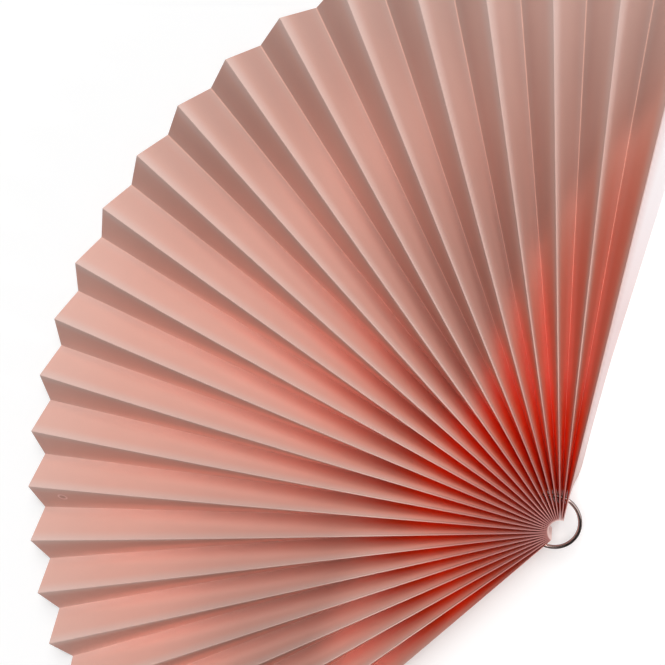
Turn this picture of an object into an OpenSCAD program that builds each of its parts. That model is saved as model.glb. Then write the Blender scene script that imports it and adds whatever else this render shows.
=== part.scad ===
// Half fan of pleated paper, threaded on a wire ring.
// The fan lies flat with its valley folds on the surface and its ridges up.
// Origin: the hub that every crease points at, on the surface. +Y runs along the middle of the fan.

/* [Sheet] */
// Distance from the hub to the rim
fan_r = 300; // [200:5:320]
// Distance from the hub to the inner ends of the pleats
eye_r = 5.7; // [5.6:0.1:9]
// Width of a panel between two creases
panel_w = 22.8; // [21:0.2:30]
// Thickness of the paper
paper_t = 0.2; // [0.1:0.02:0.2]
// Ridge folds between the two free edges
ridges = 23; // [21:1:24]

/* [Opening] */
// Angle that the opened fan covers
spread = 150; // [138:1:160]
// How far the middle crease is shifted, because the pleats open wider on the right
drift = 6.1; // [0:0.1:6.5]
// Second, smaller unevenness of the pleats, which shifts the quarters against each other
sway = 1; // [0:0.1:1.2]

/* [Ring] */
// Radius of the ring, to the middle of its wire
ring_r = 13.1; // [12:0.1:14]
// Diameter of the ring's wire
wire_d = 2; // [1.6:0.1:2.4]
// Share of its play in the holes that the ring has slid into the fan; it sinks by the rest
ring_slide = 0.84; // [0.5:0.02:0.96]
// Gap where the two ends of the wire meet, inside the pleats
wire_gap = 0.4; // [0.2:0.1:1]

/* [Holes] */
// Diameter of the hole punched through each panel
hole_d = 7; // [6:0.1:8]
// Least gap between the wire and the edge of a hole
hole_gap = 0.3; // [0.2:0.05:0.3]

/* [Hidden] */

// Creases and free edges, counted together from the right end to the left end.
// An even line lies in a valley and an odd one on a ridge.
last_line = 2 * ridges + 1;
function line_angle(k) =
    90 - spread / 2
    + spread * k / last_line
    + drift * sin(180 * k / last_line)
    - sway * sin(360 * k / last_line);
function ridge_side(k) = k % 2 == 1 ? 1 : -1;
// Mean angle from this line to the next ones
function line_step(k) =
    (line_angle(min(k + 1, last_line)) - line_angle(max(k - 1, 0))) / (k == 0 || k == last_line ? 1 : 2);

// Each fold is a narrow flat, as wide as the packed pleats leave it at the hub.
narrow_step = min([for (k = [0:last_line]) line_step(k)]);
fold_half = eye_r * sin(narrow_step) / 2;

// A panel keeps its width, so the ridges sink as the pleats open towards the rim.
function panel_run(k, r) = 2 * r * sin(line_step(k) / 2) - 2 * fold_half;
function panel_rise(k, r) = sqrt(panel_w * panel_w - panel_run(k, r) * panel_run(k, r));
// Sideways shift of the paper's faces at a fold, which keeps the panels at full thickness
function fold_shift(k, r) = paper_t / 2 * tan(45 - atan(panel_run(k, r) / panel_rise(k, r)) / 2);

// The ring lies off the hub, so it reaches farthest from the hub in the middle of the fan and least
// at both free edges. The shift is the one at which these two differ by twice the sideways play.
wire_play = (hole_d - wire_d) / 2 - hole_gap;
side_play = ring_slide * wire_play;
play_slope = 1 - sin(90 - spread / 2);
ring_shift = (
    2 * side_play - ring_r
    + sqrt(pow(ring_r - 2 * side_play, 2) + 8 * side_play * (ring_r - side_play) / play_slope)
) / 2;

// Holes: their centres lie on a circle about the hub, half way up the pleats.
hole_at = ring_shift + ring_r - side_play;
hole_z = (paper_t + panel_w) / 2;
ring_z = hole_z - wire_play * sqrt(1 - ring_slide * ring_slide);

// Points along the creases: the first stretch holds the punched hole.
hole_stretch = hole_at + 1.5 * hole_d;
stretches = 10;
function station_r(j) = j == 0 ? eye_r : hole_stretch + (fan_r - hole_stretch) * (j - 1) / (stretches - 1);

// The sheet is a grid of columns, two at each crease and one at each free edge.
columns = 2 * last_line;
function column_line(c) = floor((c + 1) / 2);
function column_side(c) = c % 2 == 0 ? 1 : -1;

function sheet_point(j, c, face) =
    let(
        r = station_r(j),
        k = column_line(c),
        a = line_angle(k),
        across = column_side(c) * (fold_half + face * ridge_side(k) * fold_shift(k, r)),
        z = (k % 2 == 1 ? panel_rise(k, r) : 0) + paper_t / 2 * (1 + face)
    )
    [r * cos(a) - across * sin(a), r * sin(a) + across * cos(a), z];

// Number of a point: upper face first, then lower face
function upper(j, c) = 2 * (j * columns + c);
function lower(j, c) = upper(j, c) + 1;
function two_triangles(a, b, c, d) = [[a, b, c], [a, c, d]];

module pleated_paper() {
    points = [
        for (j = [0:stretches])
            for (c = [0:columns - 1])
                for (face = [1, -1])
                    sheet_point(j, c, face)
    ];
    across = [0:columns - 2];
    along = [0:stretches - 1];
    upper_faces = [
        for (j = along)
            for (c = across)
                each two_triangles(upper(j, c), upper(j, c + 1), upper(j + 1, c + 1), upper(j + 1, c))
    ];
    lower_faces = [
        for (j = along)
            for (c = across)
                each two_triangles(lower(j, c), lower(j + 1, c), lower(j + 1, c + 1), lower(j, c + 1))
    ];
    hub_edge = [
        for (c = across)
            each two_triangles(upper(0, c), lower(0, c), lower(0, c + 1), upper(0, c + 1))
    ];
    rim_edge = [
        for (c = across)
            each two_triangles(
                upper(stretches, c), upper(stretches, c + 1),
                lower(stretches, c + 1), lower(stretches, c))
    ];
    right_edge = [
        for (j = along)
            each two_triangles(upper(j, 0), upper(j + 1, 0), lower(j + 1, 0), lower(j, 0))
    ];
    left_edge = [
        for (j = along)
            each two_triangles(
                upper(j, columns - 1), lower(j, columns - 1),
                lower(j + 1, columns - 1), upper(j + 1, columns - 1))
    ];
    color("lightpink")
        difference() {
            polyhedron(points, concat(upper_faces, lower_faces, hub_edge, rim_edge, right_edge, left_edge));
            punched_holes();
        }
}

// The panels stand almost upright at the hub, so one round channel punches them all.
module punched_holes() {
    translate([0, 0, hole_z])
        rotate_extrude($fn = 96)
            translate([hole_at, 0])
                circle(d = hole_d, $fn = 32);
}

module ring() {
    gap_angle = 2 * asin(wire_gap / (2 * ring_r));
    color("silver")
        translate([0, ring_shift, ring_z])
            rotate([0, 0, 90 + gap_angle / 2])
                rotate_extrude(angle = 360 - gap_angle, $fn = 96)
                    translate([ring_r, 0])
                        circle(d = wire_d, $fn = 32);
}

pleated_paper();
ring();
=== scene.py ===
"""Half fan of pleated pink paper on a chrome wire ring, dressed and lit for rendering.

Everything is in metres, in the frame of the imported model: the hub is the origin, +Y runs along the
middle of the fan, and the fan lies on the surface with its valley folds down.
"""

import logging
import math
from dataclasses import dataclass, field
from enum import Enum

import bpy
import numpy as np
from mathutils import Matrix, Vector


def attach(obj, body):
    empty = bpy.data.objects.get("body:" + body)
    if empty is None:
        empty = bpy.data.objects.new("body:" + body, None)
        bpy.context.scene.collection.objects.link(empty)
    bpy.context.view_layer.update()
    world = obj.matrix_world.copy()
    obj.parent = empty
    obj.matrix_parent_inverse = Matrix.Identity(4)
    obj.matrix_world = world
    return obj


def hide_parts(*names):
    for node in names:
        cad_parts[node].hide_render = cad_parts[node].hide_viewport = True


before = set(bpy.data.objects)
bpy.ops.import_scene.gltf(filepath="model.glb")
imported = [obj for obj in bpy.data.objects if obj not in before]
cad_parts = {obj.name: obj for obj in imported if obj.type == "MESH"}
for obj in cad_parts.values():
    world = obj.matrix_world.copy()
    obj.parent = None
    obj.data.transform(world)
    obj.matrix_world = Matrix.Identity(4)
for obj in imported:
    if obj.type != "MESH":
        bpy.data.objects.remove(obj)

LOG = logging.getLogger("paper_fan")
MM = 0.001
PICTURE_SIDE = 665
SENSOR_WIDTH = 36.0
LIGHT_BOUNCES = 16
SOFT_LIGHT_BOUNCES = 10

Colour = tuple[float, float, float]
Span = tuple[float, float]
Socket = bpy.types.NodeSocket
Source = Socket | float | Colour


class Fold(Enum):
    """The two kinds of crease in a concertina pleat."""

    VALLEY = 0
    RIDGE = 1


class Face(Enum):
    """The two faces of the paper, as the side of its middle that they lie on."""

    UPPER = 1
    LOWER = -1


@dataclass(frozen=True)
class SheetSizes:
    """Driving sizes of the folded sheet, the same as in the part's source.

    Attributes:
        fan_r: Distance from the hub to the rim.
        eye_r: Distance from the hub to the inner ends of the pleats.
        panel_w: Width of a panel between two creases.
        paper_t: Thickness of the paper.
        ridges: Ridge folds between the two free edges.
        spread: Angle that the opened fan covers, in degrees.
        drift: How far the middle crease is shifted, in degrees.
        sway: The smaller second unevenness of the pleats, in degrees.
        hole_d: Diameter of the hole punched through each panel.
    """

    fan_r: float = 300 * MM
    eye_r: float = 5.7 * MM
    panel_w: float = 22.8 * MM
    paper_t: float = 0.2 * MM
    ridges: int = 23
    spread: float = 150.0
    drift: float = 6.1
    sway: float = 1.0
    hole_d: float = 7 * MM


@dataclass(frozen=True)
class RingSizes:
    """Driving sizes of the wire ring, the same as in the part's source.

    Attributes:
        ring_r: Radius to the middle of the wire.
        wire_d: Diameter of the wire.
        slide: Share of its play in the holes that the ring has slid into the fan.
        wire_gap: Gap where the two ends of the wire meet.
        hole_gap: Least gap between the wire and the edge of a hole.
    """

    ring_r: float = 13.1 * MM
    wire_d: float = 2 * MM
    slide: float = 0.84
    wire_gap: float = 0.4 * MM
    hole_gap: float = 0.3 * MM


class Pleats:
    """The rule that places every crease of the opened fan."""

    def __init__(self, sizes: SheetSizes) -> None:
        """Keep the sizes and work out the width of a fold.

        Args:
            sizes: Driving sizes of the sheet.
        """
        self.sizes = sizes
        self.last_line = 2 * sizes.ridges + 1
        narrow = min(self.line_step(k) for k in range(self.last_line + 1))
        self.fold_half = sizes.eye_r * math.sin(narrow) / 2

    def line_angle(self, k: int) -> float:
        """Give the direction of a crease or free edge.

        Args:
            k: Number of the line, from 0 at the right free edge.

        Returns:
            The angle from +X, in radians.
        """
        s = self.sizes
        share = k / self.last_line
        degrees = (
            90 - s.spread / 2
            + s.spread * share
            + s.drift * math.sin(math.pi * share)
            - s.sway * math.sin(2 * math.pi * share)
        )
        return math.radians(degrees)

    def line_step(self, k: int) -> float:
        """Give the mean angle from a line to its neighbours.

        Args:
            k: Number of the line.

        Returns:
            The angle in radians.
        """
        low = max(k - 1, 0)
        high = min(k + 1, self.last_line)
        return (self.line_angle(high) - self.line_angle(low)) / (high - low)

    def fold(self, k: int) -> Fold:
        """Say whether a line lies in a valley or on a ridge."""
        return Fold(k % 2)

    def run(self, k: int, r: float) -> float:
        """Give how far a panel beside line k reaches sideways at radius r."""
        return 2 * r * math.sin(self.line_step(k) / 2) - 2 * self.fold_half

    def rise(self, k: int, r: float) -> float:
        """Give how far a panel beside line k climbs at radius r."""
        return math.sqrt(self.sizes.panel_w**2 - self.run(k, r) ** 2)

    def openness(self, k: int, share: float, r: float, face: Face) -> float:
        """Give how much of an even sky a point of a panel sees between the panels beside it.

        Args:
            k: Number of the panel, which is that of the line to its right.
            share: Where the point lies across the panel, from 0 at line k to 1 at the next line.
            r: Radius of the point.
            face: Upper or lower face, which looks into the groove above or below.

        Returns:
            The seen share of the sky, from 0 to 1, which is 1 on the outer face of an end panel.
        """
        if (k, face) in ((0, Face.UPPER), (self.last_line - 1, Face.LOWER)):
            return 1.0
        run = (self.run(k, r) + self.run(k + 1, r)) / 2
        rise = math.sqrt(self.sizes.panel_w**2 - run**2)
        height = self.crest_share(k, share, face)
        far = Vector((-run * (1 + height), rise * (1 - height))).normalized()
        return (1 - far.dot(Vector((run, rise)).normalized())) / 2

    def crest_share(self, k: int, share: float, face: Face) -> float:
        """Give how far a point lies out of its groove, from 0 in the fold to 1 on the crest."""
        rising = self.fold(k) is Fold.VALLEY
        return share if rising is (face is Face.UPPER) else 1 - share

    def corner(self, k: int, side: int, r: float, face: Face) -> Vector:
        """Give a corner of the paper's section where a panel meets a fold.

        Args:
            k: Number of the line.
            side: 1 where the next panel leaves the fold, -1 where the last one arrives.
            r: Radius along the crease.
            face: Upper or lower face of the paper.

        Returns:
            The point in the fan's frame.
        """
        angle = self.line_angle(k)
        ridge = self.fold(k) is Fold.RIDGE
        lean = math.atan(self.run(k, r) / self.rise(k, r))
        shift = self.sizes.paper_t / 2 * math.tan(math.pi / 4 - lean / 2)
        across = side * (self.fold_half + face.value * (1 if ridge else -1) * shift)
        z = (self.rise(k, r) if ridge else 0.0) + self.sizes.paper_t / 2 * (1 + face.value)
        along = Vector((math.cos(angle), math.sin(angle), 0.0))
        sideways = Vector((-math.sin(angle), math.cos(angle), 0.0))
        return along * r + sideways * across + Vector((0.0, 0.0, z))


@dataclass(frozen=True)
class RingSeat:
    """Where the ring lies in the punched holes, worked out from both pieces' sizes.

    Attributes:
        sheet: Driving sizes of the sheet.
        ring: Driving sizes of the ring.
    """

    sheet: SheetSizes
    ring: RingSizes

    @property
    def wire_play(self) -> float:
        """Give how far the wire can move in a hole."""
        return (self.sheet.hole_d - self.ring.wire_d) / 2 - self.ring.hole_gap

    @property
    def side_play(self) -> float:
        """Give the part of the play that the ring's sideways shift takes."""
        return self.ring.slide * self.wire_play

    @property
    def shift(self) -> float:
        """Give how far the ring's centre lies from the hub.

        Returns:
            The distance.
        """
        slope = 1 - math.sin(math.radians(90 - self.sheet.spread / 2))
        short = self.ring.ring_r - 2 * self.side_play
        rest = 8 * self.side_play * (self.ring.ring_r - self.side_play) / slope
        return (math.sqrt(short**2 + rest) - short) / 2

    @property
    def hole_at(self) -> float:
        """Give the distance of the holes' centres from the hub."""
        return self.shift + self.ring.ring_r - self.side_play

    @property
    def hole_z(self) -> float:
        """Give the height of the holes' centres."""
        return (self.sheet.paper_t + self.sheet.panel_w) / 2

    @property
    def ring_z(self) -> float:
        """Give the height of the ring, which sinks by the play that is left."""
        return self.hole_z - self.wire_play * math.sqrt(1 - self.ring.slide**2)


@dataclass(frozen=True)
class Mottle:
    """Settings of a noise pattern.

    Attributes:
        scale: How many of its spots fit in a metre.
        detail: How many finer patterns lie in it.
        rough: How strong the finer patterns are.
    """

    scale: float
    detail: float
    rough: float = 0.5


class Bench:
    """A node tree with short calls for placing and joining nodes."""

    # Numbers of a Mix node's first and second input and of its output
    COLOUR_MIX = (6, 7, 2)
    NUMBER_MIX = (2, 3, 0)

    def __init__(self, tree: bpy.types.NodeTree) -> None:
        """Keep the tree.

        Args:
            tree: The node tree to build in.
        """
        self.tree = tree

    def node(self, kind: str, **settings: object) -> bpy.types.Node:
        """Place a node.

        Args:
            kind: Type name of the node.
            **settings: Its properties.

        Returns:
            The new node.
        """
        made = self.tree.nodes.new(kind)
        for name, value in settings.items():
            setattr(made, name, value)
        return made

    def join(self, source: Source, target: Socket) -> None:
        """Link a socket, or set a plain value.

        Args:
            source: An output socket, a number, or a colour.
            target: The input socket that takes it.
        """
        if isinstance(source, Socket):
            self.tree.links.new(source, target)
        elif isinstance(source, tuple) and target.type == "RGBA":
            target.default_value = (*source, 1.0)
        else:
            target.default_value = source

    def maths(self, operation: str, *values: Source) -> Socket:
        """Place a Math node.

        Args:
            operation: Its operation.
            *values: Its inputs in order, as sockets or numbers.

        Returns:
            Its output socket.
        """
        made = self.node("ShaderNodeMath", operation=operation)
        for value, target in zip(values, made.inputs):
            self.join(value, target)
        return made.outputs[0]

    def ramp(self, value: Source, low: Source, high: Source, smooth: bool = True) -> Socket:
        """Place a Map Range node that climbs from 0 at low to 1 at high.

        Args:
            value: The value to map.
            low: Where the result is 0.
            high: Where the result is 1.
            smooth: Whether the climb eases in and out.

        Returns:
            Its output socket.
        """
        kind = "SMOOTHSTEP" if smooth else "LINEAR"
        made = self.node("ShaderNodeMapRange", interpolation_type=kind)
        self.join(value, made.inputs["Value"])
        self.join(low, made.inputs["From Min"])
        self.join(high, made.inputs["From Max"])
        return made.outputs["Result"]

    def blend(self, share: Source, first: Source, second: Source) -> Socket:
        """Mix two colours.

        Args:
            share: How much of the second colour shows.
            first: The first colour.
            second: The second colour.

        Returns:
            The socket of the mixed colour.
        """
        return self.mix("RGBA", self.COLOUR_MIX, share, first, second)

    def toward(self, share: Source, start: Source, end: Source) -> Socket:
        """Move a number from start to end by a share.

        Args:
            share: The share.
            start: The number at a share of 0.
            end: The number at a share of 1.

        Returns:
            The socket of the result.
        """
        return self.mix("FLOAT", self.NUMBER_MIX, share, start, end)

    def mix(
        self, kind: str, places: tuple[int, int, int], share: Source, first: Source, second: Source
    ) -> Socket:
        """Place a Mix node.

        Args:
            kind: What it mixes.
            places: Numbers of its first and second input and of its output for that kind.
            share: How much of the second input shows.
            first: What goes to the first input.
            second: What goes to the second input.

        Returns:
            Its output socket.
        """
        made = self.node("ShaderNodeMix", data_type=kind)
        for source, place in zip((share, first, second), (0, *places)):
            self.join(source, made.inputs[place])
        return made.outputs[places[2]]

    def vector(self, x: Source, y: Source, z: Source) -> Socket:
        """Place a Combine XYZ node.

        Args:
            x: Its first value.
            y: Its second value.
            z: Its third value.

        Returns:
            Its output socket.
        """
        made = self.node("ShaderNodeCombineXYZ")
        for value, target in zip((x, y, z), made.inputs):
            self.join(value, target)
        return made.outputs[0]

    def uv(self, name: str) -> tuple[Socket, Socket]:
        """Read a UV map.

        Args:
            name: Name of the map.

        Returns:
            The sockets of its two values.
        """
        parts = self.node("ShaderNodeSeparateXYZ")
        self.join(self.node("ShaderNodeUVMap", uv_map=name).outputs[0], parts.inputs[0])
        return parts.outputs[0], parts.outputs[1]

    def noise(self, place: Socket, pattern: Mottle) -> Socket:
        """Place a Noise Texture node.

        Args:
            place: The vector that it reads.
            pattern: Its settings.

        Returns:
            Its value output, about 0.5 on average.
        """
        made = self.node("ShaderNodeTexNoise")
        self.join(place, made.inputs["Vector"])
        made.inputs["Scale"].default_value = pattern.scale
        made.inputs["Detail"].default_value = pattern.detail
        made.inputs["Roughness"].default_value = pattern.rough
        return made.outputs[0]


def fresh_material(name: str) -> tuple[bpy.types.Material, Bench, bpy.types.Node]:
    """Make a material that holds a Principled shader and its output.

    Args:
        name: Name of the material.

    Returns:
        The material, a bench on its node tree, and the Principled node.
    """
    material = bpy.data.materials.new(name)
    material.use_nodes = True
    bench = Bench(material.node_tree)
    bench.tree.nodes.clear()
    shader = bench.node("ShaderNodeBsdfPrincipled")
    output = bench.node("ShaderNodeOutputMaterial")
    bench.join(shader.outputs[0], output.inputs["Surface"])
    return material, bench, shader


@dataclass(frozen=True)
class SheetPlace:
    """Sockets that tell a material where on the sheet it is.

    Attributes:
        radius: Distance from the hub.
        across: Place across the sheet, from 0 at the right end to 1 at the left end.
        openness: Share of an even sky that the place sees.
        crest: Share of the way up from the fold to the crest.
    """

    radius: Socket
    across: Socket
    openness: Socket
    crest: Socket


@dataclass(frozen=True)
class Slide:
    """A value that changes smoothly with a measure.

    Attributes:
        start: The value before the change.
        end: The value after it.
        span: The measure where the change starts, and where it ends.
    """

    start: float
    end: float
    span: Span

    def at(self, bench: Bench, measure: Socket) -> Socket:
        """Give the value at each place.

        Args:
            bench: The material's node tree.
            measure: The measure that the value follows.

        Returns:
            The socket of the value.
        """
        climb = bench.ramp(measure, *self.span)
        return bench.maths("MULTIPLY_ADD", climb, self.end - self.start, self.start)


@dataclass(frozen=True)
class Zone:
    """A part of the sheet with soft borders.

    Each span gives its measure where the zone starts to show, and where it is full.

    Attributes:
        amount: How much the zone does where it is full.
        radius: Spans of the distance from the hub, in metres.
        across: Spans of the place across the sheet.
        crest: Spans of the height between fold and crest.
    """

    amount: float = 1.0
    radius: tuple[Span, ...] = ()
    across: tuple[Span, ...] = ()
    crest: tuple[Span, ...] = ()

    def mask(self, bench: Bench, place: SheetPlace) -> Socket:
        """Give how much the zone does at each place.

        Args:
            bench: The material's node tree.
            place: Where on the sheet the material is.

        Returns:
            The socket of the amount.
        """
        mask = self.amount
        for measure, spans in (
            (place.radius, self.radius),
            (place.across, self.across),
            (place.crest, self.crest),
        ):
            for span in spans:
                mask = bench.maths("MULTIPLY", bench.ramp(measure, *span), mask)
        return mask


@dataclass(frozen=True)
class Layer:
    """A colour that lies over a part of the sheet.

    Attributes:
        colour: The colour.
        zone: Where it lies, and how thickly.
    """

    colour: Colour
    zone: Zone

    def over(self, bench: Bench, place: SheetPlace, under: Source) -> Socket:
        """Lay the colour over another.

        Args:
            bench: The material's node tree.
            place: Where on the sheet the material is.
            under: The colour that it covers.

        Returns:
            The socket of the colour that shows.
        """
        return bench.blend(self.zone.mask(bench, place), under, self.colour)


@dataclass(frozen=True)
class RoundMark:
    """The small dent pressed into one panel near the rim, with painted highlight and shade.

    Its spans are distances from its middle, as shares of its radius.

    Attributes:
        radius: Radius of the dent's raised edge.
        along: Its distance from the hub.
        panel: The panel that it lies on.
        share: Where it lies across the panel, from the right crease to the left one.
        hollow: Span over which its hollow deepens.
        edge_out: Span over which its raised edge climbs from outside.
        edge_in: Span over which the edge climbs from inside.
        edge_highlight: Colour of the edge, a painted highlight.
        edge_highlight_amount: How much of that colour shows.
        hollow_shade: Colour of the hollow, painted shade.
        hollow_shade_amount: How much of that colour shows.
    """

    radius: float = 2.5 * MM
    along: float = 281.7 * MM
    panel: int = 31
    share: float = 0.42
    hollow: Span = (0.8, 0.55)
    edge_out: Span = (1.35, 1.05)
    edge_in: Span = (0.7, 0.95)
    # Painted highlight on the dent's raised edge and painted shade in its hollow.
    edge_highlight: Colour = (0.95, 0.66, 0.62)
    edge_highlight_amount: float = 0.8
    hollow_shade: Colour = (0.40, 0.20, 0.17)
    hollow_shade_amount: float = 0.35

    def press(
        self, bench: Bench, place: SheetPlace, pleats: Pleats, colour: Source
    ) -> tuple[Socket, Socket]:
        """Press the mark into the paper, with a painted highlight on its edge and painted shade in
        its hollow.

        Args:
            bench: The material's node tree.
            place: Where on the sheet the material is.
            pleats: The rule of the creases.
            colour: The paper's colour.

        Returns:
            The sockets of the colour with the mark, and of the mark's height.
        """
        middle = (self.panel + self.share) / pleats.last_line
        scale = pleats.sizes.panel_w * pleats.last_line / self.radius
        aside = bench.maths("MULTIPLY_ADD", place.across, scale, -middle * scale)
        ahead = bench.maths(
            "MULTIPLY_ADD", place.radius, 1 / self.radius, -self.along / self.radius
        )
        spot = bench.node("ShaderNodeVectorMath", operation="LENGTH")
        bench.join(bench.vector(aside, ahead, 0.0), spot.inputs[0])
        distance = spot.outputs["Value"]
        hollow = bench.ramp(distance, *self.hollow)
        edge = bench.maths(
            "MULTIPLY", bench.ramp(distance, *self.edge_out), bench.ramp(distance, *self.edge_in)
        )
        # Painted highlight on the edge, then painted shade in the hollow.
        share = bench.maths("MULTIPLY", edge, self.edge_highlight_amount)
        colour = bench.blend(share, colour, self.edge_highlight)
        share = bench.maths("MULTIPLY", hollow, self.hollow_shade_amount)
        colour = bench.blend(share, colour, self.hollow_shade)
        return colour, bench.maths("SUBTRACT", edge, hollow)


@dataclass(frozen=True)
class PaperFinishAndPaintedLight:
    """Dyed uncoated paper that glows red in its folds, with light and shade painted into its colour.

    Its colour is laid out as the red that it sends back, and as green and blue against that red.
    Slides over the place across the sheet run from the right end to the left end.

    Attributes:
        open_red: How much red an open panel sends back.
        fold_glow_red: How much red the paper sends back in its folds, as painted glow.
        most_red: The most red that it sends back.
        fold_start: Openness where the painted glow of a fold starts to show, across the sheet.
        fold_full: Openness where it is full, across the sheet.
        fold_height: How high in a groove it reaches.
        dusk_shade: A dull band of painted shade just outside the glow, and how high in a groove it
            reaches.
        dusk_lead: How far the band's middle lies outside the glow.
        dusk_rise: Distance over which it sets in.
        dusk_tail: Distance over which it fades, across the sheet.
        dusk_share: How strong it is, across the sheet.
        left_end_shade: Painted shade in a dull band at the left end.
        left_start: Distance from the hub where that band starts, across the sheet.
        left_rise: Distance over which it sets in.
        red_light_and_shade_zones: Other parts, as shares: painted shade with less red, painted glow
            with more.
        pinkness: Green share in the middle of a panel.
        pale_zones: Parts with a higher or lower green share.
        crest_zone: Where the crests are paler, partly painted highlight and partly crease wear.
        lit_and_worn_crest: How much paler they are, across the sheet.
        glow_near: How far from the hub the painted orange glow reaches at the least.
        glow_more: How much farther it reaches at the right end.
        glow_left: Place across the sheet where it starts to reach farther.
        glow_curve: Power by which it reaches farther.
        glow_edge: The glow's outer and inner border, as shares of its reach.
        glow_crest: How much of the glow is left, from fold to crest.
        glow_zone: Where across the sheet the glow lies.
        ember_green: Green share of the glow.
        orange_zone: Where the glow is more orange.
        orange: How much higher its green share is there, from crest to fold.
        soft_glow_zone: The faint painted red glow beyond the deep red.
        soft_share: How strong it is, across the sheet.
        soft_end: How much stronger it is at the left end.
        deep_glow_green: Green share of the painted deep red round the hub, from fold to crest.
        deep_reach: How far from the hub the deep red reaches, across the sheet.
        deep_back: How much less far it reaches out of the folds.
        deep_fade: Distance over which it fades in, from fold to crest.
        warmth: The power of the green share that gives the blue share.
        blue_share: What is left of the blue share, as the green share rises.
        outer_face: Openness that only the outer faces of the end panels have.
        crest_shade_and_valley_glow: Painted shade on crests near the hub, painted glow along valley
            folds.
        lit_end_in: Colour of the end panel at the right, pale with painted light, near the hub.
        lit_end_layers: Its colours half way, towards the rim, and along its crest.
        lit_end_border: Panels from the right end between which the pale end panel ends.
        lit_inner_ends: The inner ends of the pleats, paler with painted light.
        mark: The dent near the rim.
        fibres: Pattern of the fibres.
        clouds: Pattern of the uneven dye.
        grain: How much the two patterns mottle the colour.
        roughness: Roughness of the paper between its fibres.
        fibre_rough: How much rougher the fibres are.
        gloss: How much it shines.
        bump_strength: How strongly fibres and dent tilt the surface.
        bump_height: Height of the fibres.
    """

    open_red: float = 0.72
    # Painted light: more red in the folds stands in for red light bounced between the panels and
    # passed through the paper.
    fold_glow_red: float = 0.90
    most_red: float = 0.98
    fold_start: Slide = Slide(0.217, 0.547, (0.26, 0.5))
    fold_full: Slide = Slide(0.01, 0.277, (0.26, 0.5))
    fold_height: Zone = Zone(crest=((0.87, 0.25),))
    # Painted shade: a dull band just outside the glow.
    dusk_shade: Zone = Zone(-0.2, crest=((1.0, 0.5),))
    dusk_lead: float = 0.022
    dusk_rise: float = 0.024
    dusk_tail: Slide = Slide(0.15, 0.06, (0.25, 0.4))
    dusk_share: Slide = Slide(1.0, 0.65, (0.2, 0.45))
    # Painted shade: a dull band at the left end.
    left_end_shade: Zone = Zone(-0.21, radius=((0.25, 0.17),), across=((0.5, 0.9),))
    left_start: Slide = Slide(0.095, 0.135, (0.75, 0.95))
    left_rise: float = 0.03
    # Painted shade: three parts send back less red. Painted glow: more red towards the hub.
    red_light_and_shade_zones: tuple[Zone, ...] = (
        Zone(-0.15, radius=((0.16, 0.24),), across=((0.28, 0.12),), crest=((0.6, 0.1),)),
        Zone(
            -0.2, radius=((0.2, 0.28),), across=((0.5, 0.33), (0.1, 0.2)), crest=((1.15, 0.4),)
        ),
        Zone(
            -0.07,
            radius=((0.2, 0.165), (0.03, 0.06)),
            across=((0.13, 0.07),),
            crest=((0.95, 0.45),),
        ),
        Zone(0.12, radius=((0.176, 0.013),)),
    )
    pinkness: float = 0.56
    pale_zones: tuple[Zone, ...] = (
        Zone(0.06, crest=((0.28, 0.0),)),
        Zone(-0.01, radius=((0.27, 0.12),), across=((0.15, 0.35),)),
        Zone(0.06, radius=((0.17, 0.26),), across=((0.3, 0.1),)),
        Zone(0.03, radius=((0.245, 0.29),)),
    )
    # Paler crests: partly a painted highlight where they catch the light, partly crease wear.
    crest_zone: Zone = Zone(crest=((0.7, 1.0),))
    lit_and_worn_crest: Slide = Slide(0.09, 0.11, (0.05, 0.3))
    # Painted light: an orange glow where light has bounced between the panels and passed through the
    # paper.
    glow_near: float = 0.066
    glow_more: float = 0.16
    glow_left: float = 0.36
    glow_curve: float = 2.0
    glow_edge: Span = (1.25, 0.7)
    glow_crest: Slide = Slide(1.0, 0.15, (0.65, 1.0))
    glow_zone: Zone = Zone(across=((0.46, 0.3),))
    ember_green: float = 0.25
    orange_zone: Zone = Zone(across=((0.26, 0.16),))
    orange: Slide = Slide(0.07, 0.15, (0.45, 0.2))
    # Painted light: a faint red glow beyond the deep red.
    soft_glow_zone: Zone = Zone(
        radius=((0.172, 0.038),), across=((0.22, 0.42),), crest=((1.02, 0.53),)
    )
    soft_share: Slide = Slide(0.42, 0.07, (0.45, 1.0))
    soft_end: Zone = Zone(0.35, across=((0.84, 0.95),))
    # Painted light: the deep red round the hub, where light bounces between the close panels.
    deep_glow_green: Slide = Slide(0.13, 0.31, (0.4, 1.0))
    deep_reach: Slide = Slide(0.083, 0.118, (0.2, 0.78))
    deep_back: Zone = Zone(-0.01, across=((0.18, 0.26),), crest=((0.25, 0.5),))
    deep_fade: Slide = Slide(0.041, 0.1, (0.3, 0.95))
    warmth: float = 1.33
    blue_share: Slide = Slide(0.25, 1.0, (0.03, 0.34))
    outer_face: Span = (0.94, 0.99)
    # Darker crests near the hub are painted shade; paler lines along the valley folds are painted
    # glow.
    crest_shade_and_valley_glow: tuple[Layer, ...] = (
        Layer((0.54, 0.22, 0.20), Zone(radius=((0.09, 0.022),), crest=((0.84, 0.98),))),
        Layer((0.98, 0.60, 0.48), Zone(0.4, across=((0.62, 0.35),), crest=((0.035, 0.0),))),
    )
    # Painted light: the end panel at the right is pale as it is lit straight on, with no panel
    # beside it to shade it; it is darker towards its crest.
    lit_end_in: Colour = (0.82, 0.58, 0.54)
    lit_end_layers: tuple[Layer, ...] = (
        Layer((0.99, 0.79, 0.78), Zone(radius=((0.02, 0.05),))),
        Layer((0.99, 0.91, 0.92), Zone(radius=((0.09, 0.18),))),
        Layer((0.82, 0.56, 0.53), Zone(0.5, crest=((0.55, 1.0),))),
    )
    lit_end_border: Span = (1.02, 0.98)
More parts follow.
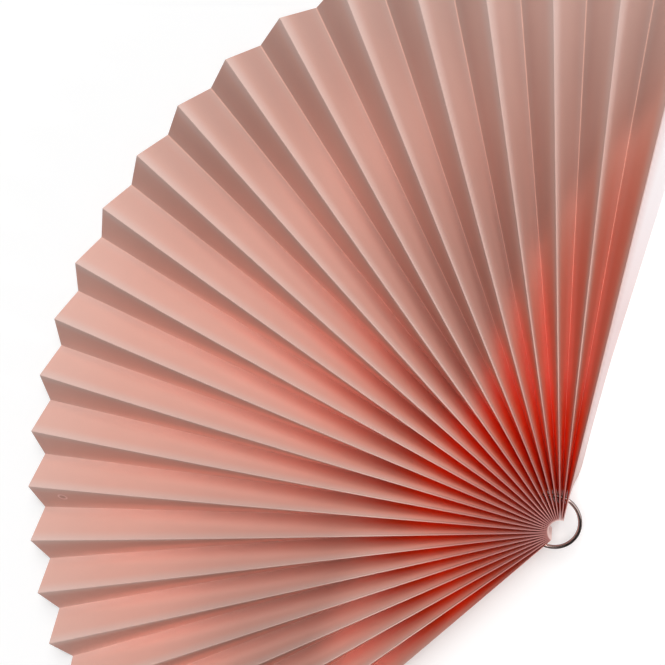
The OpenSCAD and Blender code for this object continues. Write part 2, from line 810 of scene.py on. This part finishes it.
    # Painted light: the inner ends of the pleats are paler where light falls on them.
    lit_inner_ends: Layer = Layer((0.90, 0.66, 0.62), Zone(radius=((0.0066, 0.0059),)))
    mark: RoundMark = RoundMark()
    fibres: Mottle = Mottle(1400.0, 3.0, 0.65)
    clouds: Mottle = Mottle(55.0, 4.0, 0.6)
    grain: float = 0.05
    roughness: float = 0.62
    fibre_rough: float = 0.2
    gloss: float = 0.2
    bump_strength: float = 0.25
    bump_height: float = 0.1 * MM

    def material(self, pleats: Pleats) -> bpy.types.Material:
        """Build the paper's material.

        Args:
            pleats: The rule of the creases, for the number of panels.

        Returns:
            The material.
        """
        material, bench, shader = fresh_material("pink_paper")
        along, across = bench.uv("sheet")
        openness, crest = bench.uv("fold")
        radius = bench.maths("MULTIPLY", along, pleats.sizes.fan_r)
        place = SheetPlace(radius, across, openness, crest)
        here = bench.node("ShaderNodeTexCoord").outputs["Object"]
        fibre = bench.noise(here, self.fibres)
        mottle = bench.maths("ADD", bench.noise(here, self.clouds), fibre)

        colour = self.dye_and_painted_light(bench, place, mottle)
        # Painted shade on crests near the hub and painted glow along valley folds.
        for layer in self.crest_shade_and_valley_glow:
            colour = layer.over(bench, place, colour)
        # The end panel at the right, pale with painted light.
        lit_end = self.lit_end_in
        for layer in self.lit_end_layers:
            lit_end = layer.over(bench, place, lit_end)
        border = (panels / pleats.last_line for panels in self.lit_end_border)
        colour = bench.blend(bench.ramp(across, *border), colour, lit_end)
        # Paler inner ends of the pleats, painted light.
        colour = self.lit_inner_ends.over(bench, place, colour)
        colour, dent = self.mark.press(bench, place, pleats, colour)
        bench.join(colour, shader.inputs["Base Color"])

        rough = bench.maths("MULTIPLY_ADD", fibre, self.fibre_rough, self.roughness)
        bench.join(rough, shader.inputs["Roughness"])
        shader.inputs["Specular IOR Level"].default_value = self.gloss
        bump = bench.node("ShaderNodeBump")
        bump.inputs["Strength"].default_value = self.bump_strength
        bump.inputs["Distance"].default_value = self.bump_height
        bench.join(bench.maths("ADD", fibre, dent), bump.inputs["Height"])
        bench.join(bump.outputs[0], shader.inputs["Normal"])
        return material

    def dye_and_painted_light(self, bench: Bench, place: SheetPlace, mottle: Socket) -> Socket:
        """Lay out the paper's dye colour, with the light and shade painted into it.

        Args:
            bench: The material's node tree.
            place: Where on the sheet the material is.
            mottle: The sum of the two patterns, about 1 on average.

        Returns:
            The socket of the colour.
        """
        reach = self.glow_reach(bench, place)
        green = self.green_share(bench, place, reach)
        outer = bench.ramp(place.openness, *self.outer_face)
        green = bench.toward(outer, green, self.pinkness)
        blue = bench.maths("POWER", green, self.warmth)
        blue = bench.maths("MULTIPLY", blue, self.blue_share.at(bench, green))
        mottle = bench.maths("MULTIPLY_ADD", mottle, self.grain, 1 - self.grain)
        red = bench.maths("MULTIPLY", self.red_share(bench, place, reach), mottle)
        colour = bench.node("ShaderNodeCombineColor")
        bench.join(red, colour.inputs[0])
        bench.join(bench.maths("MULTIPLY", red, green), colour.inputs[1])
        bench.join(bench.maths("MULTIPLY", red, blue), colour.inputs[2])
        return colour.outputs[0]

    def glow_reach(self, bench: Bench, place: SheetPlace) -> Socket:
        """Give how far from the hub the painted orange glow reaches, which is farthest at the right.

        Args:
            bench: The material's node tree.
            place: Where on the sheet the material is.

        Returns:
            The socket of the distance.
        """
        to_right = bench.ramp(place.across, self.glow_left, 0.0, smooth=False)
        to_right = bench.maths("POWER", to_right, self.glow_curve)
        return bench.maths("MULTIPLY_ADD", to_right, self.glow_more, self.glow_near)

    def green_share(self, bench: Bench, place: SheetPlace, reach: Socket) -> Socket:
        """Lay out how much green the paper sends back against red, with the painted glow and
        highlight.

        Args:
            bench: The material's node tree.
            place: Where on the sheet the material is.
            reach: How far from the hub the orange glow reaches.

        Returns:
            The socket of the green share.
        """
        share = self.pinkness
        for zone in self.pale_zones:
            share = bench.maths("ADD", share, zone.mask(bench, place))
        # Paler crests, partly painted highlight and partly crease wear.
        crest = self.crest_zone.mask(bench, place)
        pale = self.lit_and_worn_crest.at(bench, place.across)
        share = bench.maths("MULTIPLY_ADD", crest, pale, share)

        # The faint painted red glow.
        strength = self.soft_share.at(bench, place.across)
        strength = bench.maths("ADD", strength, self.soft_end.mask(bench, place))
        soft = bench.maths("MULTIPLY", self.soft_glow_zone.mask(bench, place), strength)
        share = bench.toward(soft, share, self.deep_glow_green.start)

        # The painted orange glow.
        borders = (bench.maths("MULTIPLY", reach, part) for part in self.glow_edge)
        glow = bench.ramp(place.radius, *borders)
        glow = bench.maths("MULTIPLY", glow, self.glow_crest.at(bench, place.crest))
        glow = bench.maths("MULTIPLY", glow, self.glow_zone.mask(bench, place))
        orange = self.orange.at(bench, place.crest)
        ember = bench.maths(
            "MULTIPLY_ADD", self.orange_zone.mask(bench, place), orange, self.ember_green
        )
        share = bench.toward(glow, share, ember)

        # The painted deep red round the hub.
        start = self.deep_reach.at(bench, place.across)
        start = bench.maths("ADD", start, self.deep_back.mask(bench, place))
        full = bench.maths("SUBTRACT", start, self.deep_fade.at(bench, place.crest))
        deep = bench.ramp(place.radius, start, full)
        return bench.toward(deep, share, self.deep_glow_green.at(bench, place.crest))

    def red_share(self, bench: Bench, place: SheetPlace, reach: Socket) -> Socket:
        """Lay out how much red the paper sends back, with painted glow in its folds and painted
        shade.

        Args:
            bench: The material's node tree.
            place: Where on the sheet the material is.
            reach: How far from the hub the orange glow reaches.

        Returns:
            The socket of the red share.
        """
        # The folds' extra red is painted glow.
        start = self.fold_start.at(bench, place.across)
        full = self.fold_full.at(bench, place.across)
        folded = bench.ramp(place.openness, start, full)
        folded = bench.maths("MULTIPLY", folded, self.fold_height.mask(bench, place))
        share = bench.toward(folded, self.open_red, self.fold_glow_red)

        # Painted shade in the dull bands and zones, and painted glow near the hub.
        zones = [self.painted_dusk_shade(bench, place, reach), self.painted_left_end_shade(bench, place)]
        zones += [zone.mask(bench, place) for zone in self.red_light_and_shade_zones]
        for change in zones:
            share = bench.maths("MULTIPLY_ADD", share, change, share)
        return bench.maths("MINIMUM", share, self.most_red)

    def painted_dusk_shade(self, bench: Bench, place: SheetPlace, reach: Socket) -> Socket:
        """Lay out the painted shade in the dull band just outside the glow.

        Args:
            bench: The material's node tree.
            place: Where on the sheet the material is.
            reach: How far from the hub the orange glow reaches.

        Returns:
            The socket of its change to the red share.
        """
        middle = bench.maths("ADD", reach, self.dusk_lead)
        start = bench.maths("SUBTRACT", middle, self.dusk_rise)
        end = bench.maths("ADD", middle, self.dusk_tail.at(bench, place.across))
        band = bench.maths(
            "MULTIPLY",
            bench.ramp(place.radius, start, middle),
            bench.ramp(place.radius, end, middle),
        )
        band = bench.maths("MULTIPLY", band, self.dusk_share.at(bench, place.across))
        return bench.maths("MULTIPLY", band, self.dusk_shade.mask(bench, place))

    def painted_left_end_shade(self, bench: Bench, place: SheetPlace) -> Socket:
        """Lay out the painted shade in the dull band at the left end.

        Args:
            bench: The material's node tree.
            place: Where on the sheet the material is.

        Returns:
            The socket of its change to the red share.
        """
        start = self.left_start.at(bench, place.across)
        band = bench.ramp(place.radius, start, bench.maths("ADD", start, self.left_rise))
        return bench.maths("MULTIPLY", band, self.left_end_shade.mask(bench, place))


@dataclass(frozen=True)
class SheetPoint:
    """A point of the paper's surface.

    Attributes:
        place: Where it lies in the fan's frame.
        along: Its distance from the hub, as a share of the fan's radius.
        across: Its place across the sheet, from 0 at the right end to 1 at the left end.
        openness: The share of an even sky that it sees from its groove.
        crest: Its share of the way up from the fold to the crest.
    """

    place: Vector
    along: float
    across: float
    openness: float
    crest: float


@dataclass
class PleatedPaper:
    """The folded sheet: a finer mesh of the same form as its solid.

    Attributes:
        sizes: Driving sizes of the sheet.
        seat: Where the holes lie.
        finish_and_painted_light: The paper's finish, with its painted light and shade.
        across: Strips that each panel is divided into, from crease to crease.
        along: Stretches that each panel is divided into, from hub to rim.
        bow: How far a panel's middle may bow out of its plane.
        bow_pace: How much faster the bow runs out than the sheet does towards the rim.
        flare: How far the right free edge flares out where it leaves the ring.
        flare_r: Radii at which that flare starts, is widest and ends.
        flare_curve: Power by which it sets in.
        hole_steps: Steps round the ring of holes, and about one hole.
        sharp: Angle above which an edge is sharp, in degrees.
        seed: Seed of the panels' differences.
    """

    sizes: SheetSizes
    seat: RingSeat
    finish_and_painted_light: PaperFinishAndPaintedLight
    across: int = 8
    along: int = 60
    bow: float = 0.25 * MM
    bow_pace: float = 1.15
    flare: float = 2.2 * MM
    flare_r: tuple[float, float, float] = (10 * MM, 27 * MM, 90 * MM)
    flare_curve: float = 1.5
    hole_steps: tuple[int, int] = (192, 32)
    sharp: float = 25.0
    seed: int = 7
    pleats: Pleats = field(init=False)

    def __post_init__(self) -> None:
        """Work out the creases."""
        self.pleats = Pleats(self.sizes)

    def stations(self) -> list[float]:
        """Give the radii at which the sheet's section is taken."""
        s = self.sizes
        return [s.eye_r + (s.fan_r - s.eye_r) * j / self.along for j in range(self.along + 1)]

    def flared(self, r: float) -> Vector:
        """Give how the right free edge is shifted at one radius.

        Args:
            r: The radius.

        Returns:
            The shift, out of the fan and level with the surface.
        """
        start, widest, end = self.flare_r
        rising = (r - start) / (widest - start)
        falling = (end - r) / (end - widest)
        width = self.flare * max(min(rising, falling, 1.0), 0.0) ** self.flare_curve
        angle = self.pleats.line_angle(0)
        return Vector((math.sin(angle), -math.cos(angle), 0.0)) * width

    def section(self, r: float, bows: np.ndarray) -> list[SheetPoint]:
        """Lay out the paper's section at one radius.

        Args:
            r: The radius.
            bows: How each panel bows, from -1 to 1.

        Returns:
            The points across the sheet from right to left, each on the upper and the lower face.
        """
        points = []
        reach = (r - self.sizes.eye_r) / (self.sizes.fan_r - self.sizes.eye_r)
        for k in range(self.pleats.last_line):
            angle = self.pleats.line_angle(k)
            along = Vector((math.cos(angle), math.sin(angle), 0.0))
            ends = {
                face: [self.pleats.corner(k, 1, r, face), self.pleats.corner(k + 1, -1, r, face)]
                for face in Face
            }
            if k == 0:
                for pair in ends.values():
                    pair[0] += self.flared(r)
            normal = along.cross(ends[Face.UPPER][1] - ends[Face.UPPER][0]).normalized()
            run_out = math.pi * min(reach * self.bow_pace, 1.0)
            height = self.bow * bows[k] * math.sin(run_out)
            for i in range(self.across + 1):
                share = i / self.across
                lift = normal * (height * math.sin(math.pi * share))
                for face, (start, end) in ends.items():
                    points.append(SheetPoint(
                        place=start.lerp(end, share) + lift,
                        along=r / self.sizes.fan_r,
                        across=(k + share) / self.pleats.last_line,
                        openness=self.pleats.openness(k, share, r, face),
                        crest=self.pleats.crest_share(k, share, face),
                    ))
        return points

    def mesh(self) -> bpy.types.Mesh:
        """Build the closed mesh of the sheet, without its holes.

        Returns:
            The mesh, with the map "sheet" of places along and across the sheet, and the map "fold"
            of each place's openness and of its share of the way up to the crest.
        """
        rng = np.random.default_rng(self.seed)
        bows = rng.uniform(-1, 1, self.pleats.last_line)
        rows = [self.section(r, bows) for r in self.stations()]
        width = len(rows[0]) // 2
        points = [p for row in rows for p in row]

        def up(j: int, i: int) -> int:
            """Number a point of the upper face."""
            return 2 * (j * width + i)

        def low(j: int, i: int) -> int:
            """Number a point of the lower face."""
            return up(j, i) + 1

        faces = []
        for j in range(self.along):
            for i in range(width - 1):
                faces.append((up(j, i), up(j + 1, i), up(j + 1, i + 1), up(j, i + 1)))
                faces.append((low(j, i), low(j, i + 1), low(j + 1, i + 1), low(j + 1, i)))
            faces.append((up(j, 0), low(j, 0), low(j + 1, 0), up(j + 1, 0)))
            last = width - 1
            faces.append((up(j, last), up(j + 1, last), low(j + 1, last), low(j, last)))
        for i in range(width - 1):
            faces.append((up(0, i), up(0, i + 1), low(0, i + 1), low(0, i)))
            rim = self.along
            faces.append((up(rim, i), low(rim, i), low(rim, i + 1), up(rim, i + 1)))
        mesh = bpy.data.meshes.new("pleated_sheet")
        mesh.from_pydata([tuple(p.place) for p in points], [], faces)
        corners = np.zeros(len(mesh.loops), dtype=np.int32)
        mesh.loops.foreach_get("vertex_index", corners)
        maps = {
            "sheet": [(p.along, p.across) for p in points],
            "fold": [(p.openness, p.crest) for p in points],
        }
        for name, values in maps.items():
            layer = mesh.uv_layers.new(name=name)
            layer.data.foreach_set("uv", np.asarray(values, dtype=np.float32)[corners].ravel())
        return mesh

    def punch(self, piece: bpy.types.Object) -> None:
        """Cut the holes through the panels.

        Args:
            piece: The sheet.
        """
        bpy.ops.mesh.primitive_torus_add(
            major_radius=self.seat.hole_at,
            minor_radius=self.sizes.hole_d / 2,
            major_segments=self.hole_steps[0],
            minor_segments=self.hole_steps[1],
            location=(0, 0, self.seat.hole_z),
        )
        punch = bpy.context.object
        cut = piece.modifiers.new("holes", "BOOLEAN")
        cut.operation = "DIFFERENCE"
        cut.solver = "MANIFOLD"
        cut.object = punch
        depsgraph = bpy.context.evaluated_depsgraph_get()
        cut_mesh = bpy.data.meshes.new_from_object(piece.evaluated_get(depsgraph))
        piece.modifiers.clear()
        piece.data = cut_mesh
        bpy.data.objects.remove(punch)

    def build(self) -> bpy.types.Object:
        """Build the sheet and put it in place of its solid.

        Returns:
            The dressed piece.
        """
        piece = bpy.data.objects.new("folded_sheet", self.mesh())
        bpy.context.scene.collection.objects.link(piece)
        self.punch(piece)
        piece.data.polygons.foreach_set("use_smooth", [True] * len(piece.data.polygons))
        piece.data.set_sharp_from_angle(angle=math.radians(self.sharp))
        piece.data.materials.clear()
        piece.data.materials.append(self.finish_and_painted_light.material(self.pleats))
        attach(piece, "root")
        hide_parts("pleated_paper")
        return piece


@dataclass(frozen=True)
class ChromeFinishAndReflection:
    """Polished chrome plate with fine wear.

    Attributes:
        tint_and_reflection: Colour of the metal, darker and pinker than bare chrome as painted
            reflection.
        roughness: Roughness of the plate where it isn't worn.
        wear: Pattern of the wear.
        wear_rough: How much rougher it is where it is worn.
    """

    # The metal's colour is darker and pinker than bare chrome: painted dark and pink reflections.
    tint_and_reflection: Colour = (0.56, 0.43, 0.40)
    roughness: float = 0.08
    wear: Mottle = Mottle(900.0, 4.0)
    wear_rough: float = 0.12

    def material(self) -> bpy.types.Material:
        """Build the chrome's material.

        Returns:
            The material.
        """
        material, bench, shader = fresh_material("ring_chrome")
        place = bench.node("ShaderNodeTexCoord").outputs["Object"]
        wear = bench.noise(place, self.wear)
        shader.inputs["Metallic"].default_value = 1.0
        bench.join(self.tint_and_reflection, shader.inputs["Base Color"])
        rough = bench.maths("MULTIPLY_ADD", wear, self.wear_rough, self.roughness)
        bench.join(rough, shader.inputs["Roughness"])
        return material


@dataclass
class WireRing:
    """The ring of round wire, with its two ends butted inside the pleats.

    Attributes:
        sizes: Driving sizes of the ring.
        seat: Where the ring lies.
        finish_and_painted_light: The ring's finish, with painted reflection in its colour.
        around: Steps along the wire.
        about: Steps about the wire.
        sharp: Angle above which an edge is sharp, in degrees.
    """

    sizes: RingSizes
    seat: RingSeat
    finish_and_painted_light: ChromeFinishAndReflection
    around: int = 240
    about: int = 32
    sharp: float = 40.0

    def mesh(self) -> bpy.types.Mesh:
        """Build the wire as a closed tube with flat ends.

        Returns:
            The tube's mesh.
        """
        s = self.sizes
        gap = 2 * math.asin(s.wire_gap / (2 * s.ring_r))
        start = math.pi / 2 + gap / 2
        vertices = []
        for i in range(self.around + 1):
            turn = start + (2 * math.pi - gap) * i / self.around
            for j in range(self.about):
                tilt = 2 * math.pi * j / self.about
                reach = s.ring_r + s.wire_d / 2 * math.cos(tilt)
                vertices.append((
                    reach * math.cos(turn),
                    self.seat.shift + reach * math.sin(turn),
                    self.seat.ring_z + s.wire_d / 2 * math.sin(tilt),
                ))
        n = self.about
        faces = [
            ((i + 1) * n + j, (i + 1) * n + (j + 1) % n, i * n + (j + 1) % n, i * n + j)
            for i in range(self.around)
            for j in range(n)
        ]
        faces.append(tuple(range(n)))
        faces.append(tuple(reversed(range(self.around * n, (self.around + 1) * n))))
        mesh = bpy.data.meshes.new("wire_ring")
        mesh.from_pydata(vertices, [], faces)
        return mesh

    def build(self) -> bpy.types.Object:
        """Build the ring and put it in place of its solid.

        Returns:
            The dressed piece.
        """
        piece = bpy.data.objects.new("wire_ring", self.mesh())
        bpy.context.scene.collection.objects.link(piece)
        piece.data.polygons.foreach_set("use_smooth", [True] * len(piece.data.polygons))
        piece.data.set_sharp_from_angle(angle=math.radians(self.sharp))
        piece.data.materials.append(self.finish_and_painted_light.material())
        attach(piece, "root")
        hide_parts("ring")
        return piece


@dataclass(frozen=True)
class SoftLight:
    """A wide, even light from far away.

    Attributes:
        name: Its name.
        strength: Its strength.
        azimuth: Direction that it comes from, in degrees from +X.
        elevation: Its height above the surface, in degrees.
        width: Its width as the fan sees it, in degrees.
    """

    name: str
    strength: float
    azimuth: float
    elevation: float
    width: float

    def hang(self) -> bpy.types.Object:
        """Hang the light.

        Returns:
            The lamp.
        """
        azimuth, elevation = math.radians(self.azimuth), math.radians(self.elevation)
        data = bpy.data.lights.new(self.name, "SUN")
        data.energy = self.strength
        data.angle = math.radians(self.width)
        lamp = bpy.data.objects.new(self.name, data)
        source = Vector((
            math.cos(azimuth) * math.cos(elevation),
            math.sin(azimuth) * math.cos(elevation),
            math.sin(elevation),
        ))
        lamp.rotation_euler = source.to_track_quat("Z", "Y").to_euler()
        bpy.context.scene.collection.objects.link(lamp)
        return lamp


@dataclass
class Studio:
    """A white floor under soft light from the right and from above.

    Attributes:
        floor_side: Side of the floor.
        floor_white: Colour of the floor.
        floor_roughness: Roughness of the floor.
        floor_glow: How much white the floor adds where it is seen, which keeps it white.
        sky: Strength of the even light from all round.
        key: The main light.
        top: The light above the fan, which reaches down into the folds.
        fill: The low light from the right, which whitens the end panel at the right.
        cloth_colour: Colour of the dark cloth.
        cloth_r: How far from the hub the cloth hangs.
        cloth_gap: Where it leaves a gap, as azimuths in degrees.
        cloth_rises: Its rows of points, as degrees above the surface.
        cloth_steps: Steps round the fan in each row, and round the disc.
        disc_r: Radius of the disc of the same cloth that lies under the fan.
        disc_z: Height of that disc above the floor.
    """

    floor_side: float = 30.0
    floor_white: Colour = (0.88, 0.88, 0.88)
    floor_roughness: float = 0.9
    floor_glow: float = 0.09
    sky: float = 0.2
    key: SoftLight = SoftLight("key", 1.99, 12.0, 50.0, 40.0)
    top: SoftLight = SoftLight("top", 0.69, 100.0, 84.0, 30.0)
    fill: SoftLight = SoftLight("fill", 0.8, -75.0, 6.0, 10.0)
    cloth_colour: Colour = (0.02, 0.018, 0.018)
    cloth_r: float = 3.0
    cloth_gap: Span = (-65.0, 8.0)
    cloth_rises: tuple[float, ...] = (-1.0, 8.0, 20.0, 35.0, 50.0, 65.0, 78.0, 88.0)
    cloth_steps: int = 48
    disc_r: float = 120 * MM
    disc_z: float = 0.3 * MM

    def floor(self) -> bpy.types.Object:
        """Lay the floor just under the fan.

        Returns:
            The floor.
        """
        bpy.ops.mesh.primitive_plane_add(size=self.floor_side, location=(0, 0, 0))
        floor = bpy.context.object
        floor.name = "floor"
        material, bench, shader = fresh_material("floor_white")
        seen = self.seen(bench)
        white = bench.blend(seen, self.floor_white, (1.0, 1.0, 1.0))
        bench.join(white, shader.inputs["Base Color"])
        glow = bench.blend(seen, (0.0, 0.0, 0.0), (self.floor_glow,) * 3)
        bench.join(glow, shader.inputs["Emission Color"])
        shader.inputs["Emission Strength"].default_value = 1.0
        shader.inputs["Roughness"].default_value = self.floor_roughness
        shader.inputs["Specular IOR Level"].default_value = 0.0
        floor.data.materials.append(material)
        return floor

    def seen(self, bench: Bench) -> Socket:
        """Tell rays by which the background is seen from those that light the fan.

        Args:
            bench: The node tree to build in.

        Returns:
            A socket that is 1 for camera, glossy and transmission rays.
        """
        path = bench.node("ShaderNodeLightPath").outputs
        seen = bench.maths("MAXIMUM", path["Is Camera Ray"], path["Is Glossy Ray"])
        return bench.maths("MAXIMUM", seen, path["Is Transmission Ray"])

    def tent(self) -> None:
        """Hang dark cloth round the set, with one gap, which only shows in the chrome."""
        start, end = math.radians(self.cloth_gap[1]), math.radians(self.cloth_gap[0] + 360)
        turns = np.linspace(start, end, self.cloth_steps + 1)
        points = []
        for rise in np.radians(self.cloth_rises):
            level = self.cloth_r * math.cos(rise)
            height = self.cloth_r * math.sin(rise)
            points += [(level * math.cos(turn), level * math.sin(turn), height) for turn in turns]
        n = len(turns)
        faces = [
            (j * n + i, j * n + i + 1, (j + 1) * n + i + 1, (j + 1) * n + i)
            for j in range(len(self.cloth_rises) - 1)
            for i in range(n - 1)
        ]
        rim = [
            (self.disc_r * math.cos(turn), self.disc_r * math.sin(turn), self.disc_z)
            for turn in np.linspace(0, 2 * math.pi, self.cloth_steps, endpoint=False)
        ]
        faces.append(tuple(range(len(points), len(points) + len(rim))))
        mesh = bpy.data.meshes.new("dark_cloth")
        mesh.from_pydata(points + rim, [], faces)
        cloth = bpy.data.objects.new("dark_cloth", mesh)
        bpy.context.scene.collection.objects.link(cloth)
        material, bench, shader = fresh_material("dark_cloth")
        bench.join(self.cloth_colour, shader.inputs["Base Color"])
        shader.inputs["Roughness"].default_value = 1.0
        cloth.data.materials.append(material)
        for ray in ("camera", "diffuse", "transmission", "volume_scatter", "shadow"):
            setattr(cloth, f"visible_{ray}", False)

    def world(self) -> None:
        """Set the even light, which shows white to the eye, to metal and to glass."""
        world = bpy.data.worlds.new("soft_white")
        bpy.context.scene.world = world
        world.use_nodes = True
        bench = Bench(world.node_tree)
        bench.tree.nodes.clear()
        seen = self.seen(bench)
        shade = bench.node("ShaderNodeBackground")
        shade.inputs["Strength"].default_value = self.sky
        white = bench.node("ShaderNodeBackground")
        white.inputs["Strength"].default_value = 1.0
        for background in (shade, white):
            background.inputs["Color"].default_value = (1, 1, 1, 1)
        mix = bench.node("ShaderNodeMixShader")
        bench.join(seen, mix.inputs[0])
        bench.join(shade.outputs[0], mix.inputs[1])
        bench.join(white.outputs[0], mix.inputs[2])
        output = bench.node("ShaderNodeOutputWorld")
        bench.join(mix.outputs[0], output.inputs["Surface"])

    def build(self) -> None:
        """Set up the floor and the light."""
        self.floor()
        self.tent()
        self.world()
        self.key.hang()
        self.top.hang()
        self.fill.hang()


@dataclass(frozen=True)
class PhotoCamera:
    """The camera over the fan, as the photograph was taken.

    Attributes:
        place: Where the camera stands.
        aim: The point on the surface in the middle of the picture.
        up: The direction on the fan that points up in the picture.
        focal_px: Focal length in pixels of the picture.
        nearest: Distance from which things show.
    """

    place: Vector = Vector((99.3, 61.0, 458.4)) * MM
    aim: Vector = Vector((19.5, 153.0, 0.0)) * MM
    up: Vector = Vector((0.85064, 0.524, -0.04288))
    focal_px: float = 871.0
    nearest: float = 10 * MM

    def build(self) -> bpy.types.Object:
        """Place the camera and make it the scene's own.

        Returns:
            The camera.
        """
        data = bpy.data.cameras.new("photo")
        data.sensor_width = SENSOR_WIDTH
        data.lens = self.focal_px * SENSOR_WIDTH / PICTURE_SIDE
        data.clip_start = self.nearest
        camera = bpy.data.objects.new("photo", data)
        back = (self.place - self.aim).normalized()
        right = self.up.cross(back).normalized()
        turn = Matrix((right, back.cross(right), back)).transposed()
        camera.matrix_world = Matrix.Translation(self.place) @ turn.to_4x4()
        bpy.context.scene.collection.objects.link(camera)
        bpy.context.scene.camera = camera
        return camera


def main() -> None:
    """Build, dress and light the fan, and log the faces of its two pieces."""
    logging.basicConfig(level=logging.INFO, format="%(name)s: %(message)s")
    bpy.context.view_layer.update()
    scene = bpy.context.scene
    scene.view_settings.view_transform = "Standard"
    scene.cycles.max_bounces = LIGHT_BOUNCES
    scene.cycles.diffuse_bounces = SOFT_LIGHT_BOUNCES
    seat = RingSeat(SheetSizes(), RingSizes())
    PhotoCamera().build()
    Studio().build()
    paper = PleatedPaper(seat.sheet, seat, PaperFinishAndPaintedLight()).build()
    LOG.info("%s: %d faces", paper.name, len(paper.data.polygons))
    ring = WireRing(seat.ring, seat, ChromeFinishAndReflection()).build()
    LOG.info("%s: %d faces", ring.name, len(ring.data.polygons))


if __name__ == "__main__":
    main()
